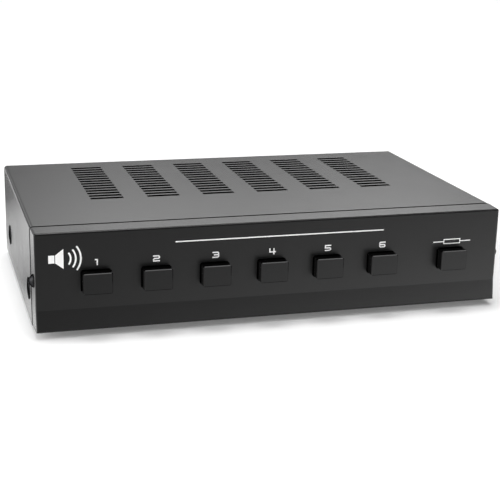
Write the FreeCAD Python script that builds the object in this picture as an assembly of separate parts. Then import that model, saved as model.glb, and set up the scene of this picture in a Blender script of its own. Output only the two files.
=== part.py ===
"""Speaker selector switch for one amplifier and six pairs of speakers.

A folded steel chassis carries a switch board with seven latching push switches and, in its rear
wall, seven push-terminal blocks. A moulded bezel closes the front and a slotted steel cover slides
over the rest.

Millimetres. X runs to the right seen from the front, Y from the front to the back and Z up.
The origin is on the floor, under the middle of the whole object.
"""
import FreeCAD, Part
import math
import os

# ---------------------------------------------------------------- driving dimensions: the case
CASE_W = 260.0                  # across the cover
CASE_D = 160.0                  # front plane of the bezel to the rear edge of the cover
CASE_H = 53.5                   # underside of the chassis to the top of the cover
SHEET = 1.0                     # steel sheet of cover and chassis
FOOT_H = 3.0                    # the case stands this high on its rubber feet
BUTTON_REACH = 6.3              # a button cap stands this far in front of the bezel
TERMINAL_REACH = 6.0            # a terminal lever stands this far behind the cover
SLIDE_GAP = 0.3                 # between sheets or parts that slide over each other
SHANK_GAP = 0.05                # round a screw in its thread

FRONT_Y = (BUTTON_REACH - TERMINAL_REACH - CASE_D) / 2
BACK_Y = FRONT_Y + CASE_D
BASE_Z = FOOT_H
TOP_Z = BASE_Z + CASE_H

# ---------------------------------------------------------------- bezel
BEZEL_D = 12.5                  # front plane to the seam with the cover
BEZEL_W = CASE_W - 0.4          # at the seam
BEZEL_DRAFT = 0.5               # each side is this much narrower at the front plane
BEZEL_SLOPE = 0.2               # and the top this much lower
BEZEL_LIFT = 0.5                # its underside is this much above the underside of the chassis
BEZEL_ROUND = 1.1               # radius of its outer edges
BEZEL_PLATE = 2.4               # thickness of the front plate
BEZEL_WALL = 2.2                # thickness of the top, bottom and side walls
BAND_H = 12.2                   # height of the lower band
BAND_FLARE = 1.5                # the band's lower edge stands this far in front of the front plane
SEAM_GAP = 1.0                  # open seam between bezel and cover
COLLAR_DEPTH = 5.8              # guide collar behind each window
COLLAR_WALL = 1.2
COLLAR_GAP = 0.4                # round a cap's flange in its collar
RIB_T = 1.4                     # stiffening ribs behind the plate
RIB_H = 2.5
RIB_OFFSET = 6.0                # above and below the caps
BOSS_SIDE = 5.0                 # spacer bosses between bezel plate and chassis front wall
BOSS_INSET = 0.5                # from the bezel's bottom and top walls
END_BOSS_X = 117.0

# ---------------------------------------------------------------- push buttons and their switches
BUTTON_PITCH = 31.4
FIRST_BUTTON_X = -98.0
BUTTON_NAMES = ["1", "2", "3", "4", "5", "6", "protection"]
BUTTON_X = [FIRST_BUTTON_X + BUTTON_PITCH * i for i in range(6)] + [100.5]
BUTTON_Z = BASE_Z + 26.9
BUTTON_TRAVEL = 4.0
CAP_W = 15.2
CAP_H = 11.2
CAP_WALL = 1.3
CAP_FACE = 1.6
CAP_TAIL = 2.7                  # the retaining flange starts this far behind the front plane
CAP_FLANGE = 1.2                # thickness of the flange, and how far it stands out all round
CAP_CORNER = 0.6                # bevel of a cap's four long edges
CAP_RIM = 0.35                  # bevel round a cap's face
WINDOW_GAP = 0.5                # round a cap in its window
WINDOW_CORNER = 1.1             # corner cut of a window
PLUNGER_SIDE = 4.0
PLUNGER_SOCKET = 7.0            # length of plunger inside the cap
PLUNGER_END = 27.5              # inner end of a plunger at rest, behind the front plane
SOCKET_WALL = 1.2               # round a plunger in its cap
GROOVE = (1.2, 8.0, 1.0)        # width, length and depth of the groove for the latch pin
SWITCH_W = 12.0
SWITCH_H = 10.0
SWITCH_FRONT = 14.0             # front of a switch body, behind the front plane
SWITCH_D = 22.0
NOSE_SIDE = 8.0                 # square nose of a switch, which sits in the chassis front wall
BOARD_T = 1.6
BOARD_W = 250.0
BOARD_FRONT = 13.5
BOARD_BACK = 60.0
BOARD_TOP = BUTTON_Z - SWITCH_H / 2

# ---------------------------------------------------------------- chassis and cover
FLOOR_TOP = BASE_Z + SHEET
WALL_Y = FRONT_Y + 10.6         # front face of the chassis front wall
WALL_GAP = 0.6                  # room for the chassis in the bezel
CHASSIS_SETBACK = 0.2           # from the front edge of the cover
FRONT_WALL_W = BEZEL_W - 2 * (BEZEL_WALL + SLIDE_GAP + BEZEL_DRAFT)
REAR_WALL_Y = BACK_Y - SHEET - 0.5
REAR_FACE_Y = REAR_WALL_Y + SHEET
LIP_H = 24.0                    # the chassis sides that the cover is screwed to
CHASSIS_W = CASE_W - 2 * (SHEET + SLIDE_GAP)
BEND_R = 2.0                    # outer radius of the cover's bends
BRACKET_X = [-118.0, -19.7, 118.0]                       # folded brackets under the switch board
BRACKET_W = 12.0
BRACKET_FOOT = 10.0
BRACKET_START = 3.0             # behind the board's front edge
HOOK_LENGTH = 3.0
HOOK_GAP = 0.2                  # round the board's back edge
SLOT_GROUPS = 6
SLOT_GROUP_PITCH = 32.4
SLOT_ROWS = 14
SLOT_ROW_PITCH = 6.0
SLOT_LENGTH = 18.6
SLOT_WIDTH = 2.5
FIRST_SLOT_Y = FRONT_Y + 66.3

# ---------------------------------------------------------------- screws and feet
COVER_SCREW_Y = [FRONT_Y + 25.5, FRONT_Y + 131.0]
COVER_SCREW_Z = BASE_Z + 16.8
COVER_HEAD_R = 5.9              # wide flat wafer heads
COVER_HEAD_H = 0.9
BEZEL_SCREW_Y = FRONT_Y + 5.7
BEZEL_SCREW_Z = BASE_Z + 27.1
BEZEL_HEAD_R = 3.6              # pan heads
BEZEL_HEAD_H = 2.3
SCREW_SHANK_R = 1.45
CLEARANCE_R = 1.7               # a screw passes through a hole of this radius
EAR_H = 14.0                    # height of the angles that the bezel's side screws bite into
EAR_FOOT = 10.0                 # width of an angle's leaf on the chassis front wall
FOOT_XY = [(x, y) for x in (-112.0, 112.0) for y in (FRONT_Y + 26.0, FRONT_Y + 140.0)]
FOOT_SIDE = 15.0                # of a foot where it is glued to the floor
FOOT_TAPER = 1.2                # each side is this much narrower at the bottom

# ---------------------------------------------------------------- push terminals
BLOCK_PITCH = 34.0
BLOCK_NAMES = ["input", "zone1", "zone2", "zone3", "zone4", "zone5", "zone6"]
BLOCK_X = [BLOCK_PITCH * (3 - i) for i in range(7)]      # from the left, seen from behind
BLOCK_Z = BASE_Z + 26.5
BLOCK_W = 26.0
BLOCK_H = 33.0
BLOCK_D = 12.0                  # inside the rear wall
FLANGE_W = 30.0
FLANGE_H = 40.0
FLANGE_T = 1.5
FLANGE_CORNER = 1.5
LATCH_W = 6.0                   # snap latches above and below a block, behind the rear wall
LATCH_RISE = 1.4
LATCH_LENGTH = 5.9
LATCH_GAP = 0.1
FACE_Y = REAR_FACE_Y + FLANGE_T
CELL_W = BLOCK_W / 2
CELL_H = BLOCK_H / 2
POCKET_W = 10.2
POCKET_BOTTOM = -1.6            # the pocket's floor and roof, from the middle of its cell
POCKET_TOP = 7.2
POCKET_D = 9.0
ENTRY_SIDE = 3.6                # square wire entry
ENTRY_Z = -4.4                  # its middle, from the middle of the cell
ENTRY_LAND = 4.5                # the entry opens into the pocket this far inside the face
PIVOT_R = 1.3                   # a lever's round crown, centred on its axis
CROWN_TURN = 42.0               # degrees, from the top towards the back
PIVOT_Z = 5.2                   # from the middle of the cell
PIVOT_Y = FACE_Y - 2.4
LUG_SIDE = 1.5                  # square lugs that keep a lever in its pocket
LUG_LENGTH = 0.6
LUG_SEAT_SIDE = 2.4
LEVER_W = POCKET_W - 2 * SLIDE_GAP
LEVER_TIP_Y = BACK_Y + TERMINAL_REACH
LEVER_HEEL_Z = -1.2             # a lever's profile, from the middle of the cell
LEVER_TIP_LOW = 1.6
LEVER_TIP_HIGH = 3.8
LEVER_BROW_Z = 5.0
LEVER_BROW_Y = FACE_Y + 0.8
CLIP_T = 0.4
CLIP_W = 3.0
CLIP_Z = 1.0                    # a clip's tail, from the middle of the cell
CLIP_GAP = 0.1                  # round the tails in the terminal board
CLIP_TAIL = 1.0                 # stands this far in front of the terminal board
CLIP_BEND_Y = FACE_Y - POCKET_D + 1.2
CLIP_RUN = 2.2                  # from the bend back to the tip
CLIP_TIP_Z = -3.2
TERMINAL_BOARD_Y = REAR_FACE_Y - BLOCK_D - BOARD_T       # front face of the terminal board
TERMINAL_BOARD_W = 238.0
TERMINAL_BOARD_H = 38.0

# ---------------------------------------------------------------- wiring between the two boards
CABLE_X = [-90.0, 0.0, 90.0]
CABLE_W = 20.0
CABLE_T = 1.2
SOCKET_W = 24.0
SOCKET_H = 8.0
SOCKET_D = 6.0
SOCKET_INSET = 1.0              # from the edge of a board
RESISTOR_X = [-46.0, 46.0]
RESISTOR_SIZE = (48.0, 9.0, 10.0)
RESISTOR_LIFT = 1.5             # the resistors stand clear of the board on their leads
RESISTOR_Y = FRONT_Y + 50.0
RESISTOR_BEVEL = 0.8
LEAD_X = 19.0                   # leads on each side of a resistor's middle
LEAD_SIDE = 1.0
CREASE_START = 16.0             # a cable's creases, behind its first socket
CREASE_END = 42.0


# ---------------------------------------------------------------- shapes used by several pieces
def block(x0, x1, y0, y1, z0, z1):
    """A plain rectangular solid between two corners."""
    return Part.makeBox(x1 - x0, y1 - y0, z1 - z0, FreeCAD.Vector(x0, y0, z0))


def edges_along(solid, axis):
    """The straight edges of a solid that run along one axis, 0 for X, 1 for Y or 2 for Z."""
    found = []
    for edge in solid.Edges:
        start, end = edge.Vertexes[0].Point, edge.Vertexes[-1].Point
        across = [abs(end[i] - start[i]) for i in range(3) if i != axis]
        if edge.Curve.TypeId == "Part::GeomLine" and max(across) < 1e-6:
            found.append(edge)
    return found


def bevelled_block(x0, x1, y0, y1, z0, z1, size, axis):
    """A rectangular solid whose four edges along one axis are bevelled."""
    solid = block(x0, x1, y0, y1, z0, z1)
    return solid.makeChamfer(size, edges_along(solid, axis))


def window_block(x, z, width, height, corner, y0, y1):
    """A rectangle with cut corners, centred on (x, z) and standing from y0 to y1."""
    x0, x1 = x - width / 2, x + width / 2
    z0, z1 = z - height / 2, z + height / 2
    return bevelled_block(x0, x1, y0, y1, z0, z1, corner, 1)


def rod(x, y, z, direction, radius, length):
    """A cylinder that starts at (x, y, z) and runs along a direction."""
    return Part.makeCylinder(radius, length, FreeCAD.Vector(x, y, z), FreeCAD.Vector(*direction))


def prism_x(outline, x0, x1):
    """A solid between x0 and x1 whose section is a list of (y, z) corners."""
    corners = [FreeCAD.Vector(x0, y, z) for y, z in outline]
    face = Part.Face(Part.makePolygon(corners + corners[:1]))
    return face.extrude(FreeCAD.Vector(x1 - x0, 0, 0))


def screw(seat, direction, head_radius, head_height, shank_radius, shank_length):
    """A round-headed screw. seat is under the head, and the head rises along direction."""
    inward = [-value for value in direction]
    head = rod(*seat, direction, head_radius, head_height)
    return head.fuse(rod(*seat, inward, shank_radius, shank_length))


def copies(solid, offsets):
    """The same solid at several (x, y, z) offsets, as one group."""
    return Part.Compound([solid.translated(FreeCAD.Vector(*offset)) for offset in offsets])


def cells():
    """The middle of each of a block's four terminals, as (x, z) from the middle of the block.

    Seen from behind, red is on the left, so red has the higher x.
    """
    return {
        "upper_red": (CELL_W / 2, CELL_H / 2),
        "upper_black": (-CELL_W / 2, CELL_H / 2),
        "lower_red": (CELL_W / 2, -CELL_H / 2),
        "lower_black": (-CELL_W / 2, -CELL_H / 2),
    }


# ---------------------------------------------------------------- steel cover
def top_cover():
    """One sheet bent down at both sides, with six fields of cooling slots in its top."""
    front = FRONT_Y + BEZEL_D + SEAM_GAP
    half = CASE_W / 2

    def arch(side, top, radius, y0, y1):
        solid = block(-side, side, y0, y1, BASE_Z, top)
        upper = [e for e in edges_along(solid, 1) if e.CenterOfMass.z > top - 0.1]
        return solid.makeFillet(radius, upper)

    outside = arch(half, TOP_Z, BEND_R, front, BACK_Y)
    inside = arch(half - SHEET, TOP_Z - SHEET, BEND_R - SHEET, front - 1, BACK_Y + 1)
    cover = outside.cut(inside)

    slot = block(-SLOT_LENGTH / 2, SLOT_LENGTH / 2, -SLOT_WIDTH / 2, SLOT_WIDTH / 2,
                 TOP_Z - SHEET - 1, TOP_Z + 1)
    offsets = []
    for group in range(SLOT_GROUPS):
        x = (group - (SLOT_GROUPS - 1) / 2) * SLOT_GROUP_PITCH
        for row in range(SLOT_ROWS):
            offsets.append((x, FIRST_SLOT_Y + row * SLOT_ROW_PITCH, 0))
    cover = cover.cut(copies(slot, offsets))

    holes = []
    for y in COVER_SCREW_Y:
        for x in (-half - 1, half - SHEET - 1):
            holes.append(rod(x, y, COVER_SCREW_Z, (1, 0, 0), CLEARANCE_R, SHEET + 2))
    return cover.cut(Part.Compound(holes))


# ---------------------------------------------------------------- steel chassis
def base_pan():
    """The tray that carries everything: floor, front wall, rear wall and side lips."""
    front_half = FRONT_WALL_W / 2
    half = CHASSIS_W / 2
    under_cover = FRONT_Y + BEZEL_D + SEAM_GAP + CHASSIS_SETBACK
    bezel_inside_top = TOP_Z - BEZEL_WALL - SLIDE_GAP
    cover_inside_top = TOP_Z - SHEET - SLIDE_GAP

    floor = block(-front_half, front_half, WALL_Y, REAR_FACE_Y, BASE_Z, FLOOR_TOP)
    wide_floor = block(-half, half, under_cover, REAR_FACE_Y, BASE_Z, FLOOR_TOP)
    front_wall = block(-front_half, front_half, WALL_Y, WALL_Y + SHEET, BASE_Z, bezel_inside_top)
    rear_wall = block(-half, half, REAR_WALL_Y, REAR_FACE_Y, BASE_Z, cover_inside_top)
    sheets = [wide_floor, front_wall, rear_wall]
    for side in (-1, 1):
        lip_x = sorted((side * half, side * (half - SHEET)))
        sheets.append(block(*lip_x, under_cover, REAR_FACE_Y, BASE_Z, BASE_Z + LIP_H))
    pan = floor.fuse(sheets)

    openings = []
    nose_room = NOSE_SIDE / 2 + SLIDE_GAP
    for x in BUTTON_X:
        openings.append(block(x - nose_room, x + nose_room, WALL_Y - 1, WALL_Y + SHEET + 1,
                              BUTTON_Z - nose_room, BUTTON_Z + nose_room))
    for x in BLOCK_X:
        openings.append(block(x - BLOCK_W / 2 - SLIDE_GAP, x + BLOCK_W / 2 + SLIDE_GAP,
                              REAR_WALL_Y - 1, REAR_FACE_Y + 1,
                              BLOCK_Z - BLOCK_H / 2 - SLIDE_GAP, BLOCK_Z + BLOCK_H / 2 + SLIDE_GAP))
    for side in (-1, 1):
        for y in COVER_SCREW_Y:
            openings.append(rod(side * half - 2, y, COVER_SCREW_Z, (1, 0, 0), SCREW_SHANK_R + SHANK_GAP, 4))
    return pan.cut(Part.Compound(openings))


def bezel_angles():
    """Two folded steel angles, welded to the chassis front wall, that hold the bezel's side screws."""
    half = FRONT_WALL_W / 2
    low, high = BEZEL_SCREW_Z - EAR_H / 2, BEZEL_SCREW_Z + EAR_H / 2
    leaf = block(half - EAR_FOOT, half, WALL_Y - SHEET, WALL_Y, low, high)
    ear = block(half - SHEET, half, FRONT_Y + BEZEL_PLATE + 1, WALL_Y, low, high)
    thread = rod(half - 2, BEZEL_SCREW_Y, BEZEL_SCREW_Z, (1, 0, 0), SCREW_SHANK_R + SHANK_GAP, 4)
    right = leaf.fuse(ear).cut(thread).removeSplitter()
    left = right.mirror(FreeCAD.Vector(0, 0, 0), FreeCAD.Vector(1, 0, 0))
    return Part.Compound([left, right])


# ---------------------------------------------------------------- moulded bezel
def bezel_half_width(y):
    """Half the bezel's width at a depth: its sides draw in towards the front."""
    return BEZEL_W / 2 - BEZEL_DRAFT * (FRONT_Y + BEZEL_D - y) / BEZEL_D


def bezel_body():
    """The bezel's outer form, solid: drafted sides, a lower band that flares out and round edges."""
    seam = FRONT_Y + BEZEL_D
    ahead = FRONT_Y - BAND_FLARE - 1
    bottom = BASE_Z + BEZEL_LIFT
    band_top = BASE_Z + BAND_H
    side_outline = [
        (seam, bottom),
        (FRONT_Y - BAND_FLARE, bottom),
        (FRONT_Y, band_top),
        (FRONT_Y, TOP_Z - BEZEL_SLOPE),
        (seam, TOP_Z),
    ]
    wide = prism_x(side_outline, -CASE_W / 2, CASE_W / 2)
    plan_corners = []
    for side, y in ((-1, seam), (-1, ahead), (1, ahead), (1, seam)):
        plan_corners.append(FreeCAD.Vector(side * bezel_half_width(y), y, BASE_Z - 1))
    plan = Part.Face(Part.makePolygon(plan_corners + plan_corners[:1]))
    body = wide.common(plan.extrude(FreeCAD.Vector(0, 0, CASE_H + 2)))

    rounded = []
    for edge in body.Edges:
        box = edge.BoundBox
        at_seam = box.YMin > seam - 0.01
        at_band_top = box.ZLength < 0.01 and abs(box.ZMin - band_top) < 0.01
        under_side = box.ZMax < bottom + 0.01 and box.YLength > 1
        if not (at_seam or at_band_top or under_side):
            rounded.append(edge)
    return body.makeFillet(BEZEL_ROUND, rounded)


def front_bezel():
    """The front frame: a box, open at the back, with ribs, spacer bosses and seven windows with collars."""
    half = BEZEL_W / 2
    seam = FRONT_Y + BEZEL_D
    inner_half = half - BEZEL_DRAFT - BEZEL_WALL
    inner_low, inner_high = BASE_Z + BEZEL_LIFT + BEZEL_WALL, TOP_Z - BEZEL_WALL
    cavity = block(-inner_half, inner_half, FRONT_Y + BEZEL_PLATE, seam + 1, inner_low, inner_high)
    chassis_room = block(-inner_half, inner_half, WALL_Y - WALL_GAP, seam + 1, BASE_Z - 1, inner_high)
    body = bezel_body().cut([cavity, chassis_room])

    collar_gap = WINDOW_GAP + CAP_FLANGE + COLLAR_GAP
    collar_back = FRONT_Y + BEZEL_PLATE + COLLAR_DEPTH
    added, removed = [], []
    for x in BUTTON_X:
        inside_w = CAP_W + 2 * collar_gap
        inside_h = CAP_H + 2 * collar_gap
        sleeve = []
        for wall in (COLLAR_WALL, 0):
            half_w, half_h = inside_w / 2 + wall, inside_h / 2 + wall
            sleeve.append(block(x - half_w, x + half_w, FRONT_Y + BEZEL_PLATE, collar_back,
                                BUTTON_Z - half_h, BUTTON_Z + half_h))
        added.append(sleeve[0].cut(sleeve[1]))
        removed.append(window_block(x, BUTTON_Z, CAP_W + 2 * WINDOW_GAP, CAP_H + 2 * WINDOW_GAP,
                                    WINDOW_CORNER, FRONT_Y - 1, FRONT_Y + BEZEL_PLATE))
    between_buttons = [(BUTTON_X[i] + BUTTON_X[i + 1]) / 2 for i in (0, 2, 4)]
    for x in [-END_BOSS_X] + between_buttons + [END_BOSS_X]:
        for low in (inner_low + BOSS_INSET, inner_high - BOSS_INSET - BOSS_SIDE):
            added.append(block(x - BOSS_SIDE / 2, x + BOSS_SIDE / 2, FRONT_Y + BEZEL_PLATE, WALL_Y,
                               low, low + BOSS_SIDE))
    for offset in (-CAP_H / 2 - RIB_OFFSET, CAP_H / 2 + RIB_OFFSET):
        z = BUTTON_Z + offset
        added.append(block(-inner_half, inner_half, FRONT_Y + BEZEL_PLATE, FRONT_Y + BEZEL_PLATE + RIB_H,
                           z - RIB_T / 2, z + RIB_T / 2))
    body = body.fuse(added).cut(removed)

    for side in (-1, 1):
        hole = rod(side * half - 5, BEZEL_SCREW_Y, BEZEL_SCREW_Z, (1, 0, 0), CLEARANCE_R, 10)
        body = body.cut(hole)
    return body.removeSplitter()


# ---------------------------------------------------------------- push buttons
def button_cap(x):
    """A hollow cap with a bevelled front, a retaining flange and a socket for its plunger."""
    front = FRONT_Y - BUTTON_REACH
    flange_y = FRONT_Y + CAP_TAIL
    tail = flange_y + CAP_FLANGE
    shell = window_block(x, BUTTON_Z, CAP_W, CAP_H, CAP_CORNER, front, tail)
    rim = [e for e in shell.Edges if abs(e.BoundBox.YMax - front) < 1e-6]
    shell = shell.makeChamfer(CAP_RIM, rim)
    half_w, half_h = CAP_W / 2, CAP_H / 2
    flange = block(x - half_w - CAP_FLANGE, x + half_w + CAP_FLANGE, flange_y, tail,
                   BUTTON_Z - half_h - CAP_FLANGE, BUTTON_Z + half_h + CAP_FLANGE)
    hollow = block(x - half_w + CAP_WALL, x + half_w - CAP_WALL, front + CAP_FACE, tail,
                   BUTTON_Z - half_h + CAP_WALL, BUTTON_Z + half_h - CAP_WALL)
    boss_side = PLUNGER_SIDE + 2 * SOCKET_WALL
    boss = block(x - boss_side / 2, x + boss_side / 2, front + CAP_FACE, tail + 1,
                 BUTTON_Z - boss_side / 2, BUTTON_Z + boss_side / 2)
    socket = plunger_bar(x, tail + 1 - PLUNGER_SOCKET, tail + 1)
    return shell.fuse(flange).cut(hollow).fuse(boss).cut(socket).removeSplitter()


def plunger_bar(x, y0, y1):
    """The square section of a plunger between two depths."""
    half = PLUNGER_SIDE / 2
    return block(x - half, x + half, y0, y1, BUTTON_Z - half, BUTTON_Z + half)


def switch_plunger(x):
    """The square bar of a latching switch, with the groove that its latch pin follows."""
    start = FRONT_Y + CAP_TAIL + CAP_FLANGE + 1 - PLUNGER_SOCKET
    bar = plunger_bar(x, start, FRONT_Y + PLUNGER_END)
    width, length, depth = GROOVE
    back, top = FRONT_Y + PLUNGER_END - 1, BUTTON_Z + PLUNGER_SIDE / 2
    groove = block(x - width / 2, x + width / 2, back - length, back, top - depth, top + 1)
    return bar.cut(groove)


def switch_bodies():
    """Seven switch bodies. Each has a nose that sits in the chassis and a channel for its plunger."""
    front = FRONT_Y + SWITCH_FRONT
    half = SWITCH_W / 2
    body = block(-half, half, front, front + SWITCH_D, BOARD_TOP, BOARD_TOP + SWITCH_H)
    nose_half = NOSE_SIDE / 2
    nose = block(-nose_half, nose_half, WALL_Y, front, BUTTON_Z - nose_half, BUTTON_Z + nose_half)
    bore_half = PLUNGER_SIDE / 2 + SLIDE_GAP
    bore = block(-bore_half, bore_half, WALL_Y, FRONT_Y + PLUNGER_END + BUTTON_TRAVEL + 0.5,
                 BUTTON_Z - bore_half, BUTTON_Z + bore_half)
    one = body.fuse(nose).cut(bore)
    return copies(one, [(x, 0, 0) for x in BUTTON_X])


# ---------------------------------------------------------------- boards and what they carry
def switch_board():
    """The board under the seven switches."""
    half = BOARD_W / 2
    return block(-half, half, FRONT_Y + BOARD_FRONT, FRONT_Y + BOARD_BACK, BOARD_TOP - BOARD_T, BOARD_TOP)


def board_brackets():
    """Three folded steel brackets, welded to the floor, whose hooks hold the board's back edge."""
    seat = BOARD_TOP - BOARD_T
    foot_top = FLOOR_TOP + SHEET
    hook_top = BOARD_TOP + HOOK_GAP + SHEET
    front = FRONT_Y + BOARD_FRONT + BRACKET_START
    back = FRONT_Y + BOARD_BACK + HOOK_GAP + SHEET
    front_foot, back_foot, hook = front + BRACKET_FOOT, back - BRACKET_FOOT, back - HOOK_LENGTH
    outline = [
        (front, FLOOR_TOP), (front_foot, FLOOR_TOP), (front_foot, foot_top),
        (front + SHEET, foot_top), (front + SHEET, seat - SHEET),
        (back - SHEET, seat - SHEET), (back - SHEET, foot_top),
        (back_foot, foot_top), (back_foot, FLOOR_TOP), (back, FLOOR_TOP),
        (back, hook_top), (hook, hook_top), (hook, hook_top - SHEET),
        (back - SHEET, hook_top - SHEET), (back - SHEET, seat), (front, seat),
    ]
    return Part.Compound([prism_x(outline, x - BRACKET_W / 2, x + BRACKET_W / 2) for x in BRACKET_X])


def protection_resistors():
    """Two cement-bodied power resistors that stand off the board on their leads."""
    length, depth, height = RESISTOR_SIZE
    bottom = BOARD_TOP + RESISTOR_LIFT
    body = bevelled_block(-length / 2, length / 2, RESISTOR_Y - depth / 2, RESISTOR_Y + depth / 2,
                          bottom, bottom + height, RESISTOR_BEVEL, 0)
    half = LEAD_SIDE / 2
    leads = []
    for x in (-LEAD_X, LEAD_X):
        leads.append(block(x - half, x + half, RESISTOR_Y - half, RESISTOR_Y + half, BOARD_TOP, bottom))
    return copies(body.fuse(leads), [(x, 0, 0) for x in RESISTOR_X])


def terminal_board():
    """The upright board of the spring contacts. A slot takes the two tails of one row of a block."""
    half = TERMINAL_BOARD_W / 2
    board = block(-half, half, TERMINAL_BOARD_Y, TERMINAL_BOARD_Y + BOARD_T,
                  BLOCK_Z - TERMINAL_BOARD_H / 2, BLOCK_Z + TERMINAL_BOARD_H / 2)
    slots = []
    slot_half = (CELL_W + CLIP_W) / 2 + CLIP_GAP
    for x in BLOCK_X:
        for cell_z in (-CELL_H / 2, CELL_H / 2):
            z = BLOCK_Z + cell_z + CLIP_Z
            slots.append(block(x - slot_half, x + slot_half, TERMINAL_BOARD_Y, TERMINAL_BOARD_Y + BOARD_T,
                               z - CLIP_GAP, z + CLIP_T + CLIP_GAP))
    return board.cut(Part.Compound(slots))


def cable_sockets():
    """Three sockets along the back of the switch board and three on the terminal board."""
    half = SOCKET_W / 2
    board_edge = FRONT_Y + BOARD_BACK - SOCKET_INSET
    front_socket = block(-half, half, board_edge - SOCKET_D, board_edge, BOARD_TOP, BOARD_TOP + SOCKET_H)
    rear_bottom = BLOCK_Z - TERMINAL_BOARD_H / 2 + SOCKET_INSET
    rear_socket = block(-half, half, TERMINAL_BOARD_Y - SOCKET_D, TERMINAL_BOARD_Y,
                        rear_bottom, rear_bottom + SOCKET_H)
    places = [(x, 0, 0) for x in CABLE_X]
    return Part.Compound([copies(front_socket, places), copies(rear_socket, places)])


def ribbon_cables():
    """Three flat cables, creased so that they run low across the floor between the two rows of sockets."""
    half = CABLE_T / 2
    start_y = FRONT_Y + BOARD_BACK - SOCKET_INSET
    start_z = BOARD_TOP + SOCKET_H / 2
    end_y = TERMINAL_BOARD_Y - SOCKET_D
    end_z = BLOCK_Z - TERMINAL_BOARD_H / 2 + SOCKET_INSET + SOCKET_H / 2
    upper_crease, lower_crease = start_y + CREASE_START, start_y + CREASE_END
    slope = math.atan2(start_z - end_z, lower_crease - upper_crease)
    shift = half * math.tan(slope / 2)
    above = [(start_y, start_z + half), (upper_crease + shift, start_z + half),
             (lower_crease + shift, end_z + half), (end_y, end_z + half)]
    below = [(start_y, start_z - half), (upper_crease - shift, start_z - half),
             (lower_crease - shift, end_z - half), (end_y, end_z - half)]
    one = prism_x(above + below[::-1], -CABLE_W / 2, CABLE_W / 2)
    return copies(one, [(x, 0, 0) for x in CABLE_X])


# ---------------------------------------------------------------- push terminals
def terminal_blocks():
    """Seven moulded blocks, snapped into the rear wall, with four pockets for levers in each."""
    half_w, half_h = BLOCK_W / 2, BLOCK_H / 2
    body_front = REAR_FACE_Y - BLOCK_D
    body = block(-half_w, half_w, body_front, REAR_FACE_Y, BLOCK_Z - half_h, BLOCK_Z + half_h)
    flange = window_block(0, BLOCK_Z, FLANGE_W, FLANGE_H, FLANGE_CORNER, REAR_FACE_Y, FACE_Y)
    latch_back = REAR_WALL_Y - LATCH_GAP
    upper_latch = prism_x([
        (latch_back - LATCH_LENGTH, BLOCK_Z + half_h),
        (latch_back, BLOCK_Z + half_h + LATCH_RISE),
        (latch_back, BLOCK_Z + half_h),
    ], -LATCH_W / 2, LATCH_W / 2)
    lower_latch = upper_latch.mirror(FreeCAD.Vector(0, 0, BLOCK_Z), FreeCAD.Vector(0, 0, 1))
    removed = []
    for x, cell_z in cells().values():
        z = BLOCK_Z + cell_z
        pocket_half = POCKET_W / 2
        entry_low = z + ENTRY_Z - ENTRY_SIDE / 2
        removed.append(block(x - pocket_half, x + pocket_half, body_front, FACE_Y,
                             z + POCKET_BOTTOM, z + POCKET_TOP))
        removed.append(block(x - ENTRY_SIDE / 2, x + ENTRY_SIDE / 2, FACE_Y - POCKET_D, FACE_Y,
                             entry_low, entry_low + ENTRY_SIDE))
        removed.append(block(x - ENTRY_SIDE / 2, x + ENTRY_SIDE / 2, FACE_Y - POCKET_D,
                             FACE_Y - ENTRY_LAND, entry_low, z + POCKET_BOTTOM))
    seat_half = (CELL_W + POCKET_W) / 2 + LUG_LENGTH + SLIDE_GAP
    for cell_z in (-CELL_H / 2, CELL_H / 2):
        removed.append(lug_bar(0, BLOCK_Z + cell_z, LUG_SEAT_SIDE, seat_half))
    one = body.fuse([flange, upper_latch, lower_latch]).cut(removed)
    return copies(one, [(x, 0, 0) for x in BLOCK_X])


def lug_bar(x, z, side, half):
    """A square bar on the levers' axis, that much to each side of x."""
    axis_z = z + PIVOT_Z
    return block(x - half, x + half, PIVOT_Y - side / 2, PIVOT_Y + side / 2,
                 axis_z - side / 2, axis_z + side / 2)


def terminal_lever(x, z):
    """A push lever for the cell centred on (x, z): a thumb tab that hangs from its round back."""
    axis_z = z + PIVOT_Z
    x0, x1 = x - LEVER_W / 2, x + LEVER_W / 2

    def corner(y, height):
        return FreeCAD.Vector(x0, y, height)

    def crown_point(turn):
        angle = math.radians(turn)
        return corner(PIVOT_Y - PIVOT_R * math.sin(angle), axis_z + PIVOT_R * math.cos(angle))

    crown = crown_point(0)
    crown_middle = crown_point(CROWN_TURN / 2)
    crown_back = crown_point(CROWN_TURN)
    outline = [
        crown_back,
        corner(PIVOT_Y - PIVOT_R, z + LEVER_HEEL_Z),
        corner(LEVER_TIP_Y, z + LEVER_TIP_LOW),
        corner(LEVER_TIP_Y, z + LEVER_TIP_HIGH),
        corner(LEVER_BROW_Y, z + LEVER_BROW_Z),
        crown,
    ]
    edges = [Part.LineSegment(a, b).toShape() for a, b in zip(outline, outline[1:])]
    edges.append(Part.Arc(crown, crown_middle, crown_back).toShape())
    tab = Part.Face(Part.Wire(edges)).extrude(FreeCAD.Vector(x1 - x0, 0, 0))
    return tab.fuse(lug_bar(x, z, LUG_SIDE, POCKET_W / 2 + LUG_LENGTH)).removeSplitter()


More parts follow.
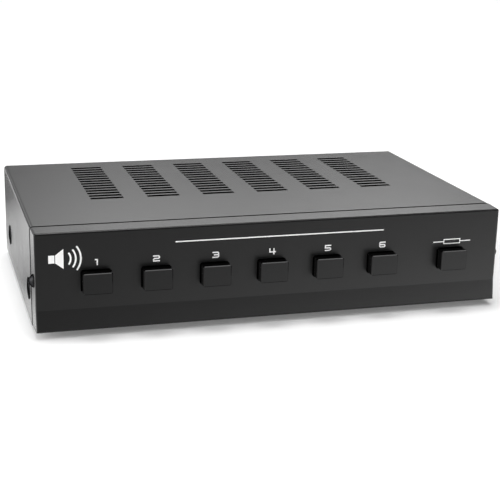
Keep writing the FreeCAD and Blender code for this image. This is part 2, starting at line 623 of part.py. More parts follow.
def contact_clips():
    """28 bent spring strips that press the bare wire and carry the current to the board."""
    tail_y = TERMINAL_BOARD_Y - CLIP_TAIL
    tip_y = CLIP_BEND_Y + CLIP_RUN
    solids = []
    for block_x in BLOCK_X:
        for cell_x, cell_z in cells().values():
            x = block_x + cell_x
            z = BLOCK_Z + cell_z
            outline = [
                (tail_y, z + CLIP_Z),
                (tail_y, z + CLIP_Z + CLIP_T),
                (CLIP_BEND_Y + CLIP_T / 2, z + CLIP_Z + CLIP_T),
                (tip_y + CLIP_T, z + CLIP_TIP_Z),
                (tip_y, z + CLIP_TIP_Z),
                (CLIP_BEND_Y, z + CLIP_Z),
            ]
            solids.append(prism_x(outline, x - CLIP_W / 2, x + CLIP_W / 2))
    return Part.Compound(solids)


# ---------------------------------------------------------------- case screws and feet
def cover_screws():
    """Two screws in each side, through the cover into the chassis lips."""
    solids = []
    for side in (-1, 1):
        for y in COVER_SCREW_Y:
            solids.append(screw((side * CASE_W / 2, y, COVER_SCREW_Z), (side, 0, 0),
                                COVER_HEAD_R, COVER_HEAD_H, SCREW_SHANK_R, 6))
    return Part.Compound(solids)


def bezel_screws():
    """One screw in each side, through the bezel wall into its angle."""
    solids = []
    for side in (-1, 1):
        seat_x = side * bezel_half_width(BEZEL_SCREW_Y + BEZEL_HEAD_R)
        solids.append(screw((seat_x, BEZEL_SCREW_Y, BEZEL_SCREW_Z), (side, 0, 0),
                            BEZEL_HEAD_R, BEZEL_HEAD_H, SCREW_SHANK_R, 8))
    return Part.Compound(solids)


def rubber_feet():
    """Four square tapered feet, glued under the floor."""
    outlines = []
    for z, half in ((0, FOOT_SIDE / 2 - FOOT_TAPER), (FOOT_H, FOOT_SIDE / 2)):
        corners = [FreeCAD.Vector(x * half, y * half, z) for x, y in ((-1, -1), (1, -1), (1, 1), (-1, 1))]
        outlines.append(Part.makePolygon(corners + corners[:1]))
    foot = Part.makeLoft(outlines, True, True)
    return copies(foot, [(x, y, 0) for x, y in FOOT_XY])


# ---------------------------------------------------------------- every node of the model
def all_nodes():
    """Each node's name and its shape."""
    nodes = {
        "top_cover": top_cover(),
        "base_pan": base_pan(),
        "bezel_angles": bezel_angles(),
        "front_bezel": front_bezel(),
        "switch_board": switch_board(),
        "switch_bodies": switch_bodies(),
        "board_brackets": board_brackets(),
        "protection_resistors": protection_resistors(),
        "terminal_board": terminal_board(),
        "terminal_blocks": terminal_blocks(),
        "contact_clips": contact_clips(),
        "cable_sockets": cable_sockets(),
        "ribbon_cables": ribbon_cables(),
        "cover_screws": cover_screws(),
        "bezel_screws": bezel_screws(),
        "rubber_feet": rubber_feet(),
    }
    for name, x in zip(BUTTON_NAMES, BUTTON_X):
        nodes["button_cap_" + name] = button_cap(x)
        nodes["switch_plunger_" + name] = switch_plunger(x)
    for name, x in zip(BLOCK_NAMES, BLOCK_X):
        for cell, (cell_x, cell_z) in cells().items():
            nodes[f"lever_{name}_{cell}"] = terminal_lever(x + cell_x, BLOCK_Z + cell_z)
    return nodes


NODES = all_nodes()
os.makedirs("parts", exist_ok=True)
for node, shape in NODES.items():
    assert shape.isValid(), node
    shape.exportStep(f"parts/{node}.step")
print(len(NODES), "nodes,", sum(len(shape.Solids) for shape in NODES.values()), "solids")
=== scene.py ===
import math

import bmesh
import bpy
from mathutils import Matrix, Vector


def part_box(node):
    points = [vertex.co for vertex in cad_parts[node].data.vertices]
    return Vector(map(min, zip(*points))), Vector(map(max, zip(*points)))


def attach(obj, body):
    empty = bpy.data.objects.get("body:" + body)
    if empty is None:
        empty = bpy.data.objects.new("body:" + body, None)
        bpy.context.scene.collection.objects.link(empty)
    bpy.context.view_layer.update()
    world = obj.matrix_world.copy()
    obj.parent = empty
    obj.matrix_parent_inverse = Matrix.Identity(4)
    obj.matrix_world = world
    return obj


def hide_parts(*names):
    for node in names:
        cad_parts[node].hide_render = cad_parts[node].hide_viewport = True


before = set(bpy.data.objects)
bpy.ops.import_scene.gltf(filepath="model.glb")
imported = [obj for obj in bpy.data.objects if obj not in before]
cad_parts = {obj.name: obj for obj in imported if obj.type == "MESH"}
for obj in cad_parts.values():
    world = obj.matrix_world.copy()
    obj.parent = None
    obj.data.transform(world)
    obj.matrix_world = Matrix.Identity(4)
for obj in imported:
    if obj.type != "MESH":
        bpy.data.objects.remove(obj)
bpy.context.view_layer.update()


# ---------------------------------------------------------------- camera
# The selector is seen from the front left and a little above, with a long lens, so that the front
# panel is nearly square to the view and the slotted top runs away to the right.
CAMERA_PLACE = (-0.18787, -0.65857, 0.22014)
CAMERA_TURN = math.radians(-16.542)      # towards the right
CAMERA_DIP = math.radians(16.504)        # below the horizon
CAMERA_ROLL = math.radians(1.354)

camera = bpy.data.objects.new("camera", bpy.data.cameras.new("camera"))
camera.data.lens = 85.47
camera.data.sensor_width = 36.0
camera.data.clip_start = 0.05
camera.matrix_world = (
    Matrix.Translation(CAMERA_PLACE)
    @ Matrix.Rotation(CAMERA_TURN, 4, "Z")
    @ Matrix.Rotation(math.pi / 2 - CAMERA_DIP, 4, "X")
    @ Matrix.Rotation(CAMERA_ROLL, 4, "Z")
)
bpy.context.scene.collection.objects.link(camera)
bpy.context.scene.camera = camera


# ---------------------------------------------------------------- chassis tray
# Folded steel sheet, one millimetre thick, which carries every other piece. It is powder coated
# black before assembly, so its surface has the fine pebble of baked powder.
MM = 0.001
MOTTLES_PER_METRE = 38.0
GLOSS_PATCHES_PER_METRE = 95.0


def feed(tree, value, socket):
    """Sets a socket to a plain value, or links it where the value is another node's socket."""
    if isinstance(value, bpy.types.NodeSocket):
        tree.links.new(value, socket)
    else:
        socket.default_value = value


def math_node(tree, operation, *values):
    """The result of one Math node, fed by sockets or plain numbers."""
    node = tree.nodes.new("ShaderNodeMath")
    node.operation = operation
    for value, socket in zip(values, node.inputs):
        feed(tree, value, socket)
    return node.outputs[0]


def pebble_group():
    """A sprayed or moulded surface: a fine pebble, a faint mottling and an uneven gloss."""
    group = bpy.data.node_groups.new("pebble", "ShaderNodeTree")
    group.interface.new_socket("Color", in_out="INPUT", socket_type="NodeSocketColor")
    for name in ("Mottle", "Roughness", "Gloss Spread", "Pebbles per Metre", "Pebble Height"):
        group.interface.new_socket(name, in_out="INPUT", socket_type="NodeSocketFloat")
    group.interface.new_socket("Color", in_out="OUTPUT", socket_type="NodeSocketColor")
    group.interface.new_socket("Roughness", in_out="OUTPUT", socket_type="NodeSocketFloat")
    group.interface.new_socket("Normal", in_out="OUTPUT", socket_type="NodeSocketVector")
    add, link = group.nodes.new, group.links.new
    given = add("NodeGroupInput").outputs
    result = add("NodeGroupOutput").inputs
    place = add("ShaderNodeTexCoord").outputs["Object"]

    def cloud(scale, detail):
        """Soft noise that stays in the piece's own place."""
        noise = add("ShaderNodeTexNoise")
        noise.inputs["Detail"].default_value = detail
        feed(group, scale, noise.inputs["Scale"])
        link(place, noise.inputs["Vector"])
        return noise.outputs["Fac"]

    def swing(noise, amount, middle):
        """A value that the noise swings up and down around a middle by an amount."""
        centred = math_node(group, "SUBTRACT", noise, 0.5)
        return math_node(group, "MULTIPLY_ADD", centred, amount, middle)

    tone = add("ShaderNodeVectorMath")
    tone.operation = "SCALE"
    link(given["Color"], tone.inputs[0])
    link(swing(cloud(MOTTLES_PER_METRE, detail=5.0), given["Mottle"], 1.0), tone.inputs["Scale"])
    link(tone.outputs[0], result["Color"])
    patches = cloud(GLOSS_PATCHES_PER_METRE, detail=3.0)
    gloss = swing(patches, given["Gloss Spread"], given["Roughness"])
    link(gloss, result["Roughness"])
    bump = add("ShaderNodeBump")
    bump.inputs["Strength"].default_value = 1.0
    link(given["Pebble Height"], bump.inputs["Distance"])
    link(cloud(given["Pebbles per Metre"], detail=2.0), bump.inputs["Height"])
    link(bump.outputs["Normal"], result["Normal"])
    return group


PEBBLE = pebble_group()


def finish(name, color, roughness, mottle=0.15, gloss_spread=0.1, pebbles=1400.0, pebble_height=0.00002,
           metallic=0.0, specular=0.5):
    """A material whose colour, gloss and relief come from the pebble group."""
    material = bpy.data.materials.new(name)
    material.use_nodes = True
    tree = material.node_tree
    shader = tree.nodes["Principled BSDF"]
    shader.inputs["Metallic"].default_value = metallic
    shader.inputs["Specular IOR Level"].default_value = specular
    texture = tree.nodes.new("ShaderNodeGroup")
    texture.node_tree = PEBBLE
    texture.name = "pebble"
    texture.inputs["Color"].default_value = (*color, 1)
    texture.inputs["Mottle"].default_value = mottle
    texture.inputs["Roughness"].default_value = roughness
    texture.inputs["Gloss Spread"].default_value = gloss_spread
    texture.inputs["Pebbles per Metre"].default_value = pebbles
    texture.inputs["Pebble Height"].default_value = pebble_height
    tree.links.new(texture.outputs["Color"], shader.inputs["Base Color"])
    tree.links.new(texture.outputs["Roughness"], shader.inputs["Roughness"])
    tree.links.new(texture.outputs["Normal"], shader.inputs["Normal"])
    return material


def dress(name, material, edge=0.0, angle=35.0):
    """Gives a CAD node its material and, where edge is set, broken edges of that width in millimetres."""
    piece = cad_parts[name]
    piece.data.materials.clear()
    piece.data.materials.append(material)
    if edge:
        weld = piece.modifiers.new("weld", "WELD")
        weld.merge_threshold = 0.005 * MM
        bevel = piece.modifiers.new("broken edges", "BEVEL")
        bevel.width = edge * MM
        bevel.segments = 2
        bevel.limit_method = "ANGLE"
        bevel.angle_limit = math.radians(angle)
        bevel.harden_normals = True


powder_coat = finish("black powder coat", (0.018, 0.018, 0.0185), roughness=0.25, pebbles=1500.0,
                     pebble_height=0.000015)
dress("base_pan", powder_coat, edge=0.15)


# ---------------------------------------------------------------- brackets inside the tray
# Zinc-plated steel, folded and spot welded to the tray before it is coated on the outside: three
# strips that hold the switch board, and an angle at each end that takes a side screw of the bezel.
zinc = finish("zinc plate", (0.62, 0.62, 0.60), roughness=0.38, mottle=0.25, gloss_spread=0.25,
              pebbles=700.0, pebble_height=0.00001, metallic=1.0)
dress("board_brackets", zinc)
dress("bezel_angles", zinc)


# ---------------------------------------------------------------- circuit boards
# Two boards of brown paper laminate under a green lacquer. The copper tracks show through the
# lacquer as slightly lighter bands.
LACQUER = (0.018, 0.075, 0.035)
LACQUER_SHADE = (0.022, 0.085, 0.040)
LACQUER_OVER_COPPER = (0.060, 0.150, 0.055)
TRACK_SCALE = 90.0                   # sets the tracks about 3 mm apart

laminate = finish("green board lacquer", LACQUER, roughness=0.35, mottle=0.3, pebble_height=0.000004)
tracks = laminate.node_tree.nodes.new("ShaderNodeTexBrick")
tracks.inputs["Scale"].default_value = TRACK_SCALE
tracks.inputs["Color1"].default_value = (*LACQUER, 1)
tracks.inputs["Color2"].default_value = (*LACQUER_SHADE, 1)
tracks.inputs["Mortar"].default_value = (*LACQUER_OVER_COPPER, 1)
tracks.inputs["Mortar Size"].default_value = 0.03
track_place = laminate.node_tree.nodes.new("ShaderNodeTexCoord")
laminate.node_tree.links.new(track_place.outputs["Object"], tracks.inputs["Vector"])
laminate.node_tree.links.new(tracks.outputs["Color"], laminate.node_tree.nodes["pebble"].inputs["Color"])
dress("switch_board", laminate)
dress("terminal_board", laminate)


# ---------------------------------------------------------------- push switches
# Seven latching switches of glass-filled black nylon with ivory acetal plungers. Each is soldered
# to the switch board, and its nose sits in a square hole of the tray's front wall.
BUTTONS = ("1", "2", "3", "4", "5", "6", "protection")

switch_nylon = finish("black switch nylon", (0.022, 0.022, 0.025), roughness=0.55, pebbles=2600.0)
dress("switch_bodies", switch_nylon)
acetal = finish("ivory acetal", (0.70, 0.67, 0.58), roughness=0.35, mottle=0.06, pebble_height=0.000004)
for button in BUTTONS:
    dress("switch_plunger_" + button, acetal, edge=0.2)


# ---------------------------------------------------------------- protection resistors
# Two wire-wound resistors cast in pale cement, which stand clear of the board on their leads. The
# protection button puts them in series with the speakers.
cement = finish("resistor cement", (0.72, 0.69, 0.62), roughness=0.85, mottle=0.35, pebbles=1800.0,
                pebble_height=0.00008)
dress("protection_resistors", cement, edge=0.3)


# ---------------------------------------------------------------- sockets and flat cables
# Ivory nylon sockets on both boards, and three flat grey cables between them. A flat cable is a
# row of round conductors side by side, which shows as fine ridges along it.
RIDGE_SCALE = 2500.0 / math.pi       # sets the ridges 0.4 mm apart

socket_nylon = finish("ivory nylon", (0.66, 0.62, 0.52), roughness=0.45, pebble_height=0.000006)
dress("cable_sockets", socket_nylon, edge=0.25)
cable_vinyl = finish("grey cable vinyl", (0.30, 0.30, 0.31), roughness=0.5, mottle=0.1)
cable_tree = cable_vinyl.node_tree
ridges = cable_tree.nodes.new("ShaderNodeTexWave")
ridges.wave_type = "BANDS"
ridges.bands_direction = "X"
ridges.inputs["Scale"].default_value = RIDGE_SCALE
ridge_place = cable_tree.nodes.new("ShaderNodeTexCoord")
ridge_bump = cable_tree.nodes.new("ShaderNodeBump")
ridge_bump.inputs["Distance"].default_value = 0.2 * MM
cable_tree.links.new(ridge_place.outputs["Object"], ridges.inputs["Vector"])
cable_tree.links.new(ridges.outputs["Fac"], ridge_bump.inputs["Height"])
cable_tree.links.new(ridge_bump.outputs["Normal"], cable_tree.nodes["Principled BSDF"].inputs["Normal"])
dress("ribbon_cables", cable_vinyl)


# ---------------------------------------------------------------- push terminals
# Seven blocks of black moulded plastic, snapped into the rear wall. Each has four pockets with a
# brass spring clip inside and a red or black lever that is pressed down to let the wire in.
block_plastic = finish("black terminal plastic", (0.018, 0.018, 0.019), roughness=0.42, pebbles=2200.0)
dress("terminal_blocks", block_plastic, edge=0.2)
spring_brass = finish("spring brass", (0.78, 0.60, 0.28), roughness=0.25, mottle=0.1, metallic=1.0,
                      pebble_height=0.000003)
dress("contact_clips", spring_brass)
for color_name, color in (("red", (0.50, 0.012, 0.010)), ("black", (0.015, 0.015, 0.016))):
    lever_plastic = finish(color_name + " lever plastic", color, roughness=0.24, mottle=0.05,
                           gloss_spread=0.05, pebbles=900.0, pebble_height=0.000004)
    for terminal in ("input", "zone1", "zone2", "zone3", "zone4", "zone5", "zone6"):
        for row in ("upper", "lower"):
            dress(f"lever_{terminal}_{row}_{color_name}", lever_plastic, edge=0.35)


# ---------------------------------------------------------------- bezel
# One moulding of black ABS that closes the front. The tool's face is spark eroded, which leaves an
# even satin grain, and the walls that slid along the tool are glossier.
def place_axes(tree, kind):
    """The X, Y and Z of a texture coordinate."""
    place = tree.nodes.new("ShaderNodeTexCoord")
    split = tree.nodes.new("ShaderNodeSeparateXYZ")
    tree.links.new(place.outputs[kind], split.inputs[0])
    return split.outputs


def ramp_node(tree, value, dark, full, clamp=True):
    """Nought where the value is at dark, one where it is at full, and straight between them."""
    node = tree.nodes.new("ShaderNodeMapRange")
    node.clamp = clamp
    node.inputs["From Min"].default_value = dark
    node.inputs["From Max"].default_value = full
    tree.links.new(value, node.inputs["Value"])
    return node.outputs["Result"]


def facing_gloss_and_painted_shade(material, gloss, color, painted_shade_rim=None, metal=False):
    """Gives the faces that look to the front or back, and a painted shade mask where there is one, a gloss
    and a colour of their own; the difference in colour is painted shade, set by which way the faces
    look. All other faces keep the material's."""
    tree = material.node_tree
    texture = tree.nodes["pebble"]
    turned = math_node(tree, "ABSOLUTE", place_axes(tree, "Normal")["Y"])
    share = ramp_node(tree, turned, dark=0.80, full=0.95)
    if painted_shade_rim:
        share = math_node(tree, "MAXIMUM", share, painted_shade_rim)
    for name, kind, value in (("Roughness", "FLOAT", gloss), ("Color", "RGBA", (*color, 1))):
        blend = tree.nodes.new("ShaderNodeMix")
        blend.data_type = kind
        blend.inputs["A"].default_value = texture.inputs[name].default_value
        blend.inputs["B"].default_value = value
        tree.links.new(share, blend.inputs["Factor"])
        tree.links.new(blend.outputs["Result"], texture.inputs[name])
    if metal:
        tree.links.new(share, tree.nodes["Principled BSDF"].inputs["Metallic"])


bezel_satin = finish("satin bezel plastic", (0.012, 0.012, 0.0122), roughness=0.22, pebbles=2400.0,
                     pebble_height=0.00002, specular=0.3)
# The front and back faces get a rougher grain and a darker colour than the lip and sides; the darker colour
# is painted shade.
facing_gloss_and_painted_shade(bezel_satin, gloss=0.32, color=(0.004, 0.004, 0.0041))
dress("front_bezel", bezel_satin)


# ---------------------------------------------------------------- printed marks
# White ink, pad printed on the bezel: a number over each channel's button, a fuse sign over the
# protection button, a loudspeaker sign at the left and a plain rule along the top.
BEZEL_FACE = -79.85                  # the y of its front, in millimetres like all sizes here
INK = 0.06                           # how far the ink stands proud of it

white_ink = finish("white ink", (0.93, 0.93, 0.92), roughness=0.5, mottle=0.08, pebbles=3000.0,
                   pebble_height=0.000006)


def ink_mark(name, outlines):
    """A thin raised print on the bezel's face. Its outlines are (x, z) corners in millimetres, which
    run anticlockwise as seen from the front."""
    points, faces = [], []
    for outline in outlines:
        front = list(range(len(points), len(points) + len(outline)))
        back = [corner + len(outline) for corner in front]
        for y in (BEZEL_FACE - INK, BEZEL_FACE + INK):
            points += [(x * MM, y * MM, z * MM) for x, z in outline]
        faces += [front, back[::-1]]
        faces += zip(front, back, back[1:] + back[:1], front[1:] + front[:1])
    data = bpy.data.meshes.new(name)
    data.from_pydata(points, [], faces)
    data.materials.append(white_ink)
    mark = bpy.data.objects.new(name, data)
    bpy.context.scene.collection.objects.link(mark)
    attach(mark, "case")


def stroke(path, width):
    """The outline of a pen stroke of that width along a path of (x, z) points, with mitred corners."""
    path = [Vector(point) for point in path]
    across = [Vector((a.y - b.y, b.x - a.x)).normalized() for a, b in zip(path, path[1:])]
    left, right = [], []
    for point, before, after in zip(path, across[:1] + across, across + across[-1:]):
        reach = (before + after) / (1 + before.dot(after)) * width / 2
        left.append(point + reach)
        right.append(point - reach)
    return right + left[::-1]


# Each figure is drawn with a pen of one width, from the middle of its own field outwards. WIDE and
# TALL are half of the field between pen middles, and CUT is taken off its corners.
PEN = 0.66
WIDE, TALL, CUT = 1.5, 1.35, 0.42
END = WIDE + PEN / 2
FLAG, STEM = -1.0, 0.2               # of the one
POST, BAR = 0.5 * WIDE, -0.3         # of the four
FIGURES = {
    1: [
        [(FLAG, TALL), (STEM, TALL), (STEM, -TALL - PEN / 2)],
    ],
    2: [
        [(-END, TALL), (WIDE - CUT, TALL), (WIDE, TALL - CUT), (WIDE, CUT), (WIDE - CUT, 0), (CUT - WIDE, 0),
         (-WIDE, -CUT), (-WIDE, -TALL), (END, -TALL)],
    ],
    3: [
        [(-END, TALL), (WIDE - CUT, TALL), (WIDE, TALL - CUT), (WIDE, CUT - TALL), (WIDE - CUT, -TALL),
         (-END, -TALL)],
        [(-0.7 * WIDE, 0), (WIDE - PEN / 2, 0)],
    ],
    4: [
        [(-WIDE, TALL + PEN / 2), (-WIDE, BAR), (POST - PEN / 2, BAR)],
        [(POST, TALL + PEN / 2), (POST, -TALL - PEN / 2)],
        [(POST + PEN / 2, BAR), (END, BAR)],
    ],
    5: [
        [(END, TALL), (-WIDE, TALL), (-WIDE, 0), (WIDE - CUT, 0), (WIDE, -CUT), (WIDE, CUT - TALL),
         (WIDE - CUT, -TALL), (-END, -TALL)],
    ],
    6: [
        [(END, TALL), (CUT - WIDE, TALL), (-WIDE, TALL - CUT), (-WIDE, CUT - TALL), (CUT - WIDE, -TALL),
         (WIDE - CUT, -TALL), (WIDE, CUT - TALL), (WIDE, -CUT), (WIDE - CUT, 0), (PEN / 2 - WIDE, 0)],
    ],
}
FIGURE_X = (-97.6, -66.5, -34.7, -3.4, 28.0, 59.6)
FIGURE_Z = 39.8
for number, middle in zip(FIGURES, FIGURE_X):
    drawn = []
    for path in FIGURES[number]:
        drawn.append(stroke([(middle + x, FIGURE_Z + z) for x, z in path], PEN))
    ink_mark(f"print_channel_{number}", drawn)

FUSE_X, FUSE_Z = 101.3, 39.3
FUSE_PEN = 0.5
FUSE_LONG, FUSE_HIGH = 4.85, 1.2     # half of its body, between pen middles
FUSE_OUTSIDE = FUSE_LONG + FUSE_PEN / 2
FUSE_LEAD = 11.2                     # from its middle to the end of a lead
fuse_paths = [
    [(-FUSE_LEAD, 0), (-FUSE_OUTSIDE, 0)],
    [(FUSE_OUTSIDE, 0), (FUSE_LEAD, 0)],
    [(-FUSE_OUTSIDE, FUSE_HIGH), (FUSE_LONG, FUSE_HIGH), (FUSE_LONG, -FUSE_HIGH), (-FUSE_LONG, -FUSE_HIGH),
     (-FUSE_LONG, FUSE_HIGH - FUSE_PEN / 2)],
]
ink_mark("print_fuse", [
    stroke([(FUSE_X + x, FUSE_Z + z) for x, z in path], FUSE_PEN) for path in fuse_paths
])

THROAT_X, SPEAKER_Z = -118.8, 42.5
THROAT, MOUTH = 2.1, 5.3             # half the height of the cone at its ends
CONE_DEPTH = 4.2
MAGNET_BACK, MAGNET_FRONT = 3.5, 0.4
WAVE_X = THROAT_X + 2.8              # the middle of the waves' arcs
WAVE_RADII = (4.6, 7.2, 9.8)
WAVE_PEN, WAVE_SPREAD, WAVE_POINTS = 0.9, math.radians(38), 15


def sound_wave(radius):
    """A bent band in front of the cone, drawn from its lower end to its upper end and back."""
    turns = [WAVE_SPREAD * (2 * step / (WAVE_POINTS - 1) - 1) for step in range(WAVE_POINTS)]
    band = []
    for edge, way in ((radius + WAVE_PEN, turns), (radius, reversed(turns))):
        band += [(WAVE_X + edge * math.cos(turn), SPEAKER_Z + edge * math.sin(turn)) for turn in way]
    return band


cone = [
    (THROAT_X, SPEAKER_Z - THROAT),
    (THROAT_X + CONE_DEPTH, SPEAKER_Z - MOUTH),
    (THROAT_X + CONE_DEPTH, SPEAKER_Z + MOUTH),
    (THROAT_X, SPEAKER_Z + THROAT),
]
magnet = stroke([(THROAT_X - MAGNET_BACK, SPEAKER_Z), (THROAT_X - MAGNET_FRONT, SPEAKER_Z)], 2 * THROAT)
ink_mark("print_loudspeaker", [magnet, cone] + [sound_wave(radius) for radius in WAVE_RADII])

RULE_LEFT, RULE_RIGHT, RULE_Z, RULE_PEN = -56.4, 59.9, 48.2, 0.6
ink_mark("print_rule", [stroke([(RULE_LEFT, RULE_Z), (RULE_RIGHT, RULE_Z)], RULE_PEN)])


# ---------------------------------------------------------------- button caps
# Seven hollow caps of black ABS, pressed on the switch plungers. Their faces have the bezel's
# grain, their sides are glossy and their edges are bevelled.
cap_satin = finish("satin cap plastic", (0.001, 0.001, 0.001), roughness=0.08, pebbles=2400.0,
                   pebble_height=0.00002, specular=0.28)
# The caps' sides and tops are painted darker than their faces: painted shade.
facing_gloss_and_painted_shade(cap_satin, gloss=0.35, color=(0.003, 0.003, 0.0031))
for button in BUTTONS:
    dress("button_cap_" + button, cap_satin, edge=0.45, angle=50.0)


# ---------------------------------------------------------------- top cover
# One steel sheet, bent down at both sides and coated like the tray, with six fields of slots. Its
# cut walls that face front or back, a band round each slot and a band along the front edge at the
# seam with the bezel are painted near black and dull: painted shade in the slots and the seam.
FIELDS, FIELD_PITCH = 6, 32.4
ROWS, ROW_PITCH, FIRST_ROW_Y = 14, 6.0, -13.55
SLOT_HALF_LENGTH, SLOT_HALF_WIDTH = 9.2, 1.25
SLOT_SHADE_REACH = 0.45                          # how far the painted shade round a slot reaches
SEAM_SHADE_REACH = 0.7                      # and the painted shade along the front edge, at the seam with the bezel
FADE = 0.25                          # over which it dies out

cover_coat = finish("cover powder coat", (0.018, 0.018, 0.0185), roughness=0.20, pebbles=1500.0,
                    pebble_height=0.000012)
cover_tree = cover_coat.node_tree
cover_place = place_axes(cover_tree, "Object")


def within(axis, centre, limit, every=None):
    """One inside limit millimetres of a centre, or of centres that repeat, and nought FADE past it."""
    offset = math_node(cover_tree, "SUBTRACT", cover_place[axis], centre * MM)
    if every:
        away = math_node(cover_tree, "PINGPONG", offset, every / 2 * MM)
    else:
        away = math_node(cover_tree, "ABSOLUTE", offset)
    return ramp_node(cover_tree, away, (limit + FADE) * MM, limit * MM)


half_rows = (ROWS - 1) / 2 * ROW_PITCH
shaded_half_width = SLOT_HALF_WIDTH + SLOT_SHADE_REACH
painted_shade_mask = within("Y", FIRST_ROW_Y, shaded_half_width, every=ROW_PITCH)
for bound in (
    within("X", FIELD_PITCH / 2, SLOT_HALF_LENGTH, every=FIELD_PITCH),
    within("Y", FIRST_ROW_Y + half_rows, half_rows + shaded_half_width),
    within("X", 0, FIELDS / 2 * FIELD_PITCH),
):
    painted_shade_mask = math_node(cover_tree, "MULTIPLY", painted_shade_mask, bound)
seam_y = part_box("top_cover")[0][1] / MM
painted_shade_mask = math_node(cover_tree, "MAXIMUM", painted_shade_mask, within("Y", seam_y, SEAM_SHADE_REACH))
# The cut walls that look to the front or back and the masked bands get a near-black, dull metal finish:
# painted shade.
facing_gloss_and_painted_shade(cover_coat, gloss=1.0, color=(0.001, 0.001, 0.001), painted_shade_rim=painted_shade_mask, metal=True)
dress("top_cover", cover_coat)


# ---------------------------------------------------------------- case screws
# Black oxide screws with a cross recess: two with wide flat wafer heads in each side of the cover,
# and one with a pan head in each side of the bezel.
screw_black = finish("black oxide steel", (0.025, 0.025, 0.026), roughness=0.35, mottle=0.3,
                     gloss_spread=0.15, pebble_height=0.000006, metallic=1.0)
screw_black.node_tree.nodes["Principled BSDF"].inputs["Specular Tint"].default_value = (0, 0, 0, 1)

# Half profiles of the heads, from the middle outwards, in shares of their radius and height.
PAN = [(0.26, 0.97), (0.50, 0.82), (0.71, 0.56), (0.87, 0.29), (0.96, 0.12), (1.0, 0.0)]
WAFER = [(0.25, 0.98), (0.42, 0.90), (0.60, 0.62), (0.80, 0.50), (0.97, 0.42), (1.0, 0.25), (0.99, 0.0)]
ARM_WIDTH = 0.22                     # half the width of the recess's arms, in shares of their reach
RECESS_DEPTH = 0.75                  # in shares of the head's height
RECESS_TAPER = 0.55                  # its floor, in shares of its mouth
FIRST_TURN = math.radians(35)        # of the recess of a head at y = 0
TURN_PER_METRE = 9.0                 # so that no two heads stand alike
HEAD_FACETS = 40


def cross_cutter(height, reach):
    """Two crossed tapering bars that leave a cross recess in the top of a head of that height."""
    points, faces = [], []
    for wide, narrow in ((reach, reach * ARM_WIDTH), (reach * ARM_WIDTH, reach)):
        above = list(range(len(points), len(points) + 4))
        below = [corner + 4 for corner in above]
        for share, z in ((1.0, height + 1), (RECESS_TAPER, height * (1 - RECESS_DEPTH))):
            for x, y in ((-wide, -narrow), (wide, -narrow), (wide, narrow), (-wide, narrow)):
                points.append((x * share * MM, y * share * MM, z * MM))
        faces += [above, below[::-1]]
        faces += zip(above, below, below[1:] + below[:1], above[1:] + above[:1])
    data = bpy.data.meshes.new("cross")
    data.from_pydata(points, [], faces)
    return data


def screw_head(outline, radius, height, reach):
    """A turned head on +Z with a cross recess whose arms have that reach. It sits at z = 0."""
    tip, seat = (0, 0, height * MM), (0, 0, 0)
    points, columns, faces = [tip, seat], [], []
    for facet in range(HEAD_FACETS):
        turn = 2 * math.pi * facet / HEAD_FACETS
        columns.append([0, *range(len(points), len(points) + len(outline)), 1])
        for r, z in outline:
            out = radius * r * MM
            points.append((out * math.cos(turn), out * math.sin(turn), height * z * MM))
    for column, following in zip(columns, columns[1:] + columns[:1]):
        for a, b, c, d in zip(column, column[1:], following[1:], following):
            faces.append(list(dict.fromkeys((a, b, c, d))))
    turned = bpy.data.meshes.new("head")
    turned.from_pydata(points, [], faces)

    whole = bpy.data.objects.new("whole", turned)
    cutter = bpy.data.objects.new("cutter", cross_cutter(height, reach))
    for item in (whole, cutter):
        bpy.context.scene.collection.objects.link(item)
    cut = whole.modifiers.new("recess", "BOOLEAN")
    cut.object = cutter
    cut.solver = "EXACT"
    cut.use_self = True
    bpy.context.view_layer.update()
    result = bpy.data.meshes.new_from_object(whole.evaluated_get(bpy.context.evaluated_depsgraph_get()))
    for item in (whole, cutter):
        bpy.data.objects.remove(item)
    return result


def fit_screws(name, node, outline, radius, height, reach):
    """Heads in place of a CAD node of screws, turned outwards and each at its own angle. Each side has
    a front and a back screw, or one alone where the node isn't longer than a head."""
    low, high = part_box(node)
    seat_x, middle_z = high[0] - height * MM, (low[2] + high[2]) / 2
    front, back = low[1] + radius * MM, high[1] - radius * MM
    rows = (front, back) if back - front > radius * MM else ((front + back) / 2,)
    joined = bmesh.new()
    for side in (-1, 1):
        for y in rows:
            head = screw_head(outline, radius, height, reach)
            head.transform(
                Matrix.Translation((side * seat_x, y, middle_z))
                @ Matrix.Rotation(side * math.pi / 2, 4, "Y")
                @ Matrix.Rotation(FIRST_TURN + TURN_PER_METRE * side * y, 4, "Z")
            )
            joined.from_mesh(head)
    data = bpy.data.meshes.new(name)
    joined.to_mesh(data)
    joined.free()
    for face in data.polygons:
        face.use_smooth = True
    data.set_sharp_from_angle(angle=math.radians(35))
    data.materials.append(screw_black)
    piece = bpy.data.objects.new(name, data)
    bpy.context.scene.collection.objects.link(piece)
    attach(piece, "case")
    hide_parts(node)


fit_screws("cover_screw_heads", "cover_screws", WAFER, radius=5.9, height=0.9, reach=2.0)
fit_screws("bezel_screw_heads", "bezel_screws", PAN, radius=3.6, height=2.3, reach=1.9)


# ---------------------------------------------------------------- feet
# Four soft black rubber feet with a moulded skin, a little wider at the top, where they are glued
# under the tray's floor.
foot_rubber = finish("foot rubber", (0.020, 0.020, 0.020), roughness=0.75, mottle=0.2, pebbles=900.0)
dress("rubber_feet", foot_rubber, edge=0.4)


# ---------------------------------------------------------------- floor and studio light
# A white seamless floor, two weak strip boxes overhead and soft glows in the studio's ceiling and
# walls. Two dim panels on the floor, out of view, grade the reflections in the front and left sides.
FLOOR_REACH = 12                     # metres each way

